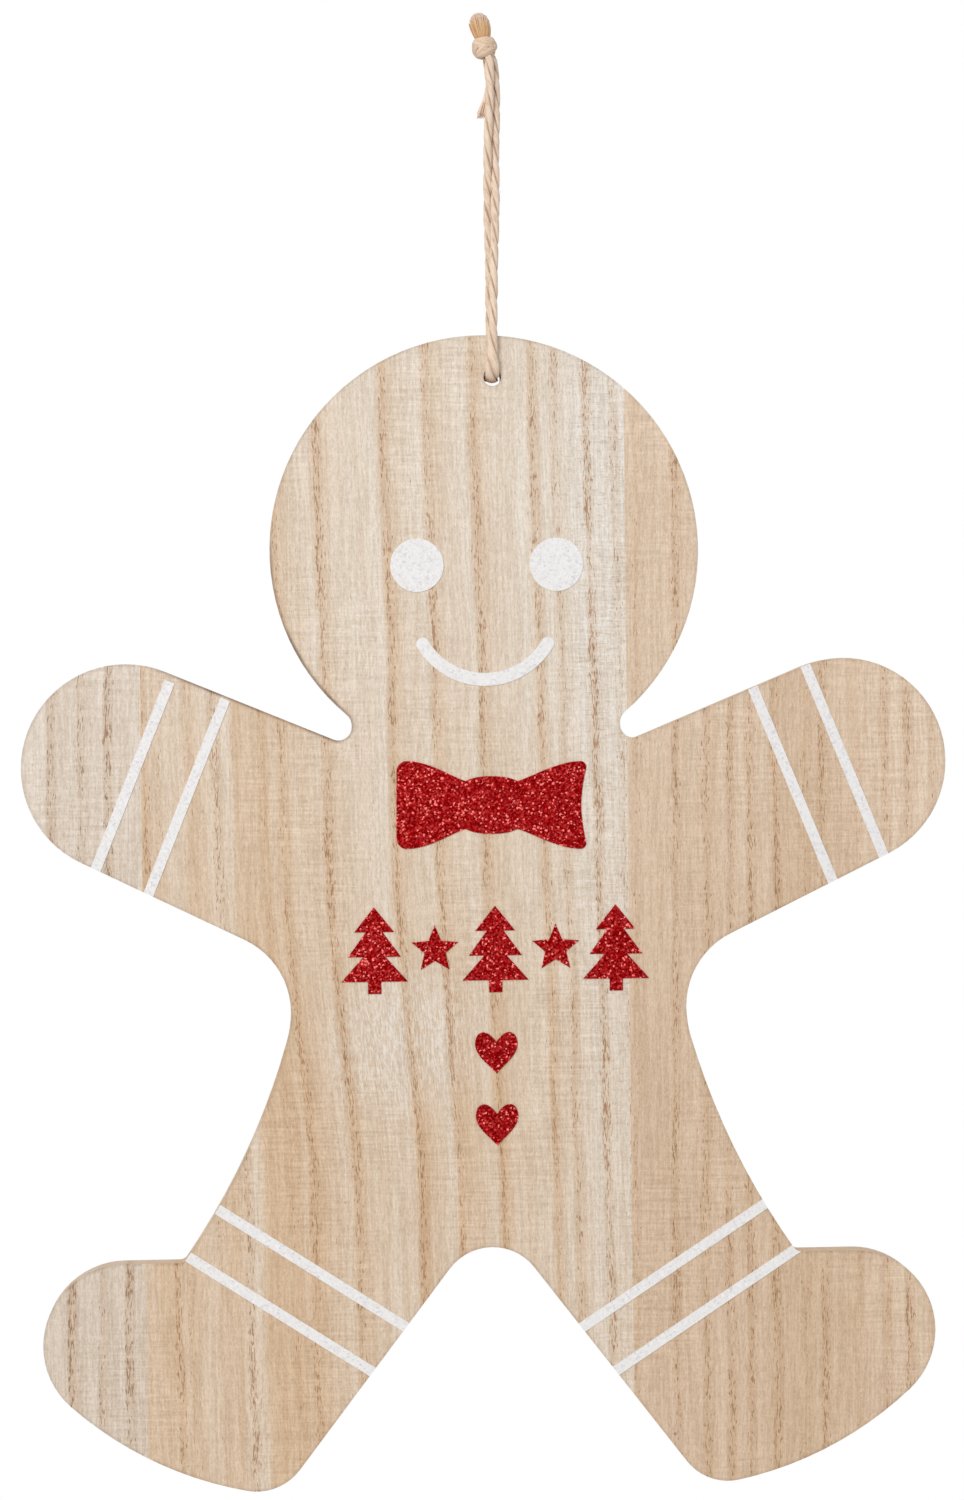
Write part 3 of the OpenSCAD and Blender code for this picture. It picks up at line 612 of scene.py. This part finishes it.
# The face, the cuffs, the bow tie and the row of motifs are glitter strewn into a wet binder on the front of
# the board: fine flakes that lie at all angles, white for the icing and red for the rest.
def glitter(name, flake, shades, tilt, metallic):
    """Glitter in a clear binder. Each flake is a cell with its own shade and its own tilt, so that under
    any light some flash pale and others fall dark. The palest and darkest shades are partly painted light:
    painted flashes and painted dark flakes on top of what the tilts do. Real flakes are about 0.2 mm across,
    too fine to show here, and are drawn about three times as large. shades lists where in the draw each colour
    begins."""
    material, tree = new_material(name)
    place = add(tree, "TexCoord", out="Object")
    draw = add(tree, "TexVoronoi", {"Vector": place, "Scale": 1 / flake, "Randomness": 1.0}, out="Color")
    tone = add(tree, "ValToRGB", {"Fac": add(tree, "SeparateColor", {0: draw})})
    ramp = tone.node.color_ramp
    ramp.interpolation = "CONSTANT"
    # The palest shades are painted flashes and the darkest are painted dark flakes.
    for i, (begins, code) in enumerate(shades):
        stop = ramp.elements[i] if i < 2 else ramp.elements.new(begins)
        stop.position, stop.color = begins, linear(code)
    lean = add(tree, "VectorMath", {0: draw, 1: (0.5, 0.5, 0.5)}, operation="SUBTRACT")
    lean = add(tree, "VectorMath", {0: lean, 3: tilt}, operation="SCALE")
    lean = add(tree, "VectorMath", {0: lean, 1: add(tree, "NewGeometry", out="Normal")}, operation="ADD")
    lean = add(tree, "VectorMath", {0: lean}, operation="NORMALIZE")
    shader = add(tree, "BsdfPrincipled", {
        "Base Color": tone, "Metallic": metallic, "Roughness": 0.5, "Normal": lean})
    add(tree, "OutputMaterial", {"Surface": shader})
    return material


white_glitter = glitter(
    "white_glitter_in_binder", flake=0.0007, tilt=0.3, metallic=0,
    shades=[
        (0, "#eeecea"), (0.35, "#ebe9e9"), (0.55, "#f1efed"), (0.75, "#ece6e5"), (0.86, "#e1dfe2"),
        (0.94, "#f8f7f6"),
    ])
red_glitter = glitter(
    "red_glitter_in_binder", flake=0.00055, tilt=0.5, metallic=1,
    shades=[
        (0, "#6c0103"), (0.22, "#890c0e"), (0.5, "#a02426"), (0.72, "#7c0507"), (0.85, "#cd4540"),
        (0.94, "#fb877f"),
    ])
icing = (
    "eye_left", "eye_right", "smile", "stripe_left_hand", "stripe_left_wrist", "stripe_right_wrist",
    "stripe_right_hand", "stripe_left_shin", "stripe_left_ankle", "stripe_right_shin", "stripe_right_ankle",
)
red_motifs = (
    "bow_tie", "tree_left", "star_left", "tree_middle", "star_right", "tree_right", "heart_upper",
    "heart_lower",
)
for motifs, material in ((icing, white_glitter), (red_motifs, red_glitter)):
    for motif in motifs:
        nodes[motif].data.materials.clear()
        nodes[motif].data.materials.append(material)

# The knot is an overhand knot pulled tight in the doubled twine: a ball of turns that cross each other at a
# slant, round the strands that run through it. Its ends are tucked inside.
knot_middle = np.array([-2.6, -0.3, 6.1])
knot_r, knot_turns, knot_drift = 3.1, 5.5, 0.9
knot_tilt = math.radians(46)
knot_twine_d = 0.003
knot_step = 0.0004
knot_side = (0.3, 0.2, 1)
knot_t = np.linspace(0, 1, 91)
knot_angle = 2 * np.pi * knot_turns * knot_t
knot_bearing = 2 * np.pi * (knot_drift * knot_t + 0.1)
knot_reach = knot_r * (0.4 + 0.6 * np.clip(np.minimum(knot_t, 1 - knot_t) / 0.06, 0, 1))
level, rising = knot_reach * np.cos(knot_angle), knot_reach * np.sin(knot_angle)
knot_line = np.column_stack([
    level * np.cos(knot_bearing) - rising * math.cos(knot_tilt) * np.sin(knot_bearing),
    level * np.sin(knot_bearing) + rising * math.cos(knot_tilt) * np.cos(knot_bearing),
    rising * math.sin(knot_tilt),
])
knot_path, knot_run = smooth_path(knot_middle + knot_line, knot_step)
knot = tubes("twine_knot", two_plies(knot_path, knot_run, knot_side, knot_twine_d, twine_lay))
# The knot's jute is a darker copy of the twine's: painted shade over the whole knot.
jute_knotted_painted_darker = jute("jute_twine_in_knot", pale="#f0d9c3", mid="#e0c3a6", dark="#ab8463", painted_crease_shade=0.4)
knot.data.materials.append(jute_knotted_painted_darker)
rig.replaces(knot, "knot")
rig.slot(knot, "jute")
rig.ride(knot, "hanger")

# Above the knot both ends of the twine are cut short and combed out into a soft tuft with a rounded top.
def frayed(name, roots, tips, thick, bend, material):
    """Fibres from roots to tips: each runs straight but for a sine-shaped bow away from the bundle's middle,
    and is a five-sided tube that thins towards its tip."""
    t = np.linspace(0, 1, 9)[None, :, None]
    away = roots - roots.mean(0)
    line = roots[:, None] + (tips - roots)[:, None] * t + away[:, None] * bend * np.sin(np.pi * t)
    ring = 2 * np.pi * np.arange(5) / 5
    section = np.column_stack([np.cos(ring), np.sin(ring), 0 * ring])
    width = thick[:, None, None, None] * (1 - 0.6 * t[..., None] ** 6)
    piece = tubes(name, line[:, :, None] + width * section)
    piece.data.materials.append(material)
    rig.slot(piece, "jute")
    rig.ride(piece, "hanger")
    return piece


jute_combed = jute("jute_combed_out", pale="#edc99b", mid="#dcb080", dark="#b08555", tip="#efdaca")
rng = np.random.default_rng(11)
tuft_fibres = 420
tuft_dome = 3.4
spread = np.sqrt(rng.uniform(0, 1, tuft_fibres))
bearing = rng.uniform(0, 2 * np.pi, tuft_fibres)
flat = np.column_stack([spread * np.cos(bearing), spread * np.sin(bearing), 0 * spread])
tuft_base, tuft_base_reach = np.array([-3.1, -0.3, 8.8]), [2.3, 2.2, 0]
tuft_crown, tuft_crown_reach = np.array([-4.3, -0.3, 18.3]), [3.7, 3.2, 0]
tuft_roots = tuft_base + flat * tuft_base_reach
tuft_tips = tuft_crown + flat * tuft_crown_reach
tuft_tips[:, 2] -= tuft_dome * spread**3 + rng.uniform(0, 0.5, tuft_fibres)
tuft_thick = rng.uniform(0.00018, 0.0003, tuft_fibres)
tuft = frayed("twine_tuft", tuft_roots / 1000, tuft_tips / 1000, tuft_thick, 0.12, jute_combed)
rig.replaces(tuft, "tuft")

# One cut end of the twine hangs a little way below the knot, behind the strands, and frays to the left.
tail_d = 0.0024
tail_route = [
    (-1.8, 2.3, 3), (-1.2, 2.7, -1), (-0.8, 2.9, -5), (-0.9, 2.8, -8), (-1.5, 2.4, -10.5), (-2.3, 2.0, -13),
]
tail_path, tail_run = smooth_path(tail_route, path_step)
tail = tubes("twine_tail", two_plies(tail_path, tail_run, twine_side, tail_d, twine_lay))
# The tail's jute is painted lighter than the twine's, to offset the shade its fibres cast on each other behind the
# strands.
jute_tail_painted_lighter = jute("jute_tail_end", pale="#ffead9", mid="#f1d4ba", dark="#c49d7d")
tail.data.materials.append(jute_tail_painted_lighter)
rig.replaces(tail, "tail")
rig.slot(tail, "jute")
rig.ride(tail, "hanger")
fray_fibres = 70
ends = rng.uniform(-1, 1, (fray_fibres, 2))
fray_base, fray_end = np.array([-2.1, 2.0, -12]), np.array([-3.4, 1.5, -18.3])
fray_roots = fray_base + np.column_stack([0.8 * ends[:, 0], 0.8 * ends[:, 1], 0 * ends[:, 0]])
fray_drop = rng.uniform(0, 1.6, fray_fibres)
fray_tips = fray_end + np.column_stack([1.6 * ends[:, 0], 1.0 * ends[:, 1], fray_drop])
fray_thick = rng.uniform(0.00014, 0.00026, fray_fibres)
frayed("twine_tail_fray", fray_roots / 1000, fray_tips / 1000, fray_thick, 0.1, jute_tail_painted_lighter)
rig.cord(
    twine, exit=twine_path[0], length=twine_length, diameter=twine_d, far_end="knot", stiffness="limp",
    lay="hanging", path=twine_path[::3], with_pieces=[fuzz, knot, tuft, tail, "twine_tail_fray"],
)

# The figure hangs in white studio air over a round table top that catches its soft shadow. The top is rolled
# with matt pale paint: faint clouds a hand wide and the stipple of the roller, 1.1 mm, with hardly any gloss.
floor_r, floor_z = 0.42, -0.62
cloud_size, stipple_size = 0.11, 0.0011
angle = np.linspace(0, 2 * np.pi, 96, endpoint=False)
rim = np.column_stack([floor_r * np.cos(angle), floor_r * np.sin(angle), np.full_like(angle, floor_z)])
floor_mesh = bpy.data.meshes.new("floor")
floor_mesh.from_pydata(rim, [], [list(range(len(rim)))])
floor = bpy.data.objects.new("floor", floor_mesh)
scene.collection.objects.link(floor)
floor_paint, tree = new_material("matt_pale_paint")
place = add(tree, "TexCoord", out="Object")
cloud = add(tree, "TexNoise", {"Vector": place, "Scale": 1 / cloud_size, "Detail": 3})
paint = add(tree, "Mix", {0: cloud, 6: linear("#f4f3f1"), 7: linear("#edebe8")}, **mixed_colour)
stipple = add(tree, "TexNoise", {"Vector": place, "Scale": 1 / stipple_size, "Detail": 2})
stipple = add(tree, "Bump", {"Height": stipple, "Strength": 0.3, "Distance": 0.0002})
shader = add(tree, "BsdfPrincipled", {"Base Color": paint, "Roughness": 0.7, "Normal": stipple})
add(tree, "OutputMaterial", {"Surface": shader})
floor.data.materials.append(floor_paint)
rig.stage(floor)

# White walls all round light it evenly, and the camera sees them as plain white. One large round lamp up on
# the left gives the twine its soft shadow.
lamp_at, lamp_aim = (-0.95, -1.8, 0.8), np.array([0.0, 0.0, -0.28])
lamp_width, lamp_power, walls_light = 1.2, 26, 0.57
world = bpy.data.worlds.new("white_studio")
world.use_nodes = True
tree = world.node_tree
tree.nodes.clear()
rays = add(tree, "LightPath").node.outputs
seen = add(tree, "Math", {0: rays["Is Camera Ray"], 1: rays["Is Glossy Ray"]}, operation="ADD")
seen = add(tree, "Math", {0: seen, 1: rays["Is Transmission Ray"]}, operation="ADD", use_clamp=True)
walls = add(tree, "Background", {"Color": (1, 1, 1, 1), "Strength": walls_light})
backdrop = add(tree, "Background", {"Color": (1, 1, 1, 1), "Strength": 1})
add(tree, "OutputWorld", {"Surface": add(tree, "MixShader", {0: seen, 1: walls, 2: backdrop})})
scene.world = world
lamp = bpy.data.lights.new("softbox", "AREA")
lamp.shape = "DISK"
lamp.size = lamp_width
lamp.energy = lamp_power
softbox = bpy.data.objects.new("softbox", lamp)
scene.collection.objects.link(softbox)
softbox.location = lamp_at
aim = lamp_aim - np.array(softbox.location)
softbox.rotation_euler = (
    math.acos(-aim[2] / np.linalg.norm(aim)), 0, math.atan2(aim[1], aim[0]) - math.pi / 2)

visual_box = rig.bounds()
with open("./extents.json", "w") as f:
    json.dump({"cad": [list(c) for c in cad_box], "visual": [list(c) for c in visual_box]}, f)
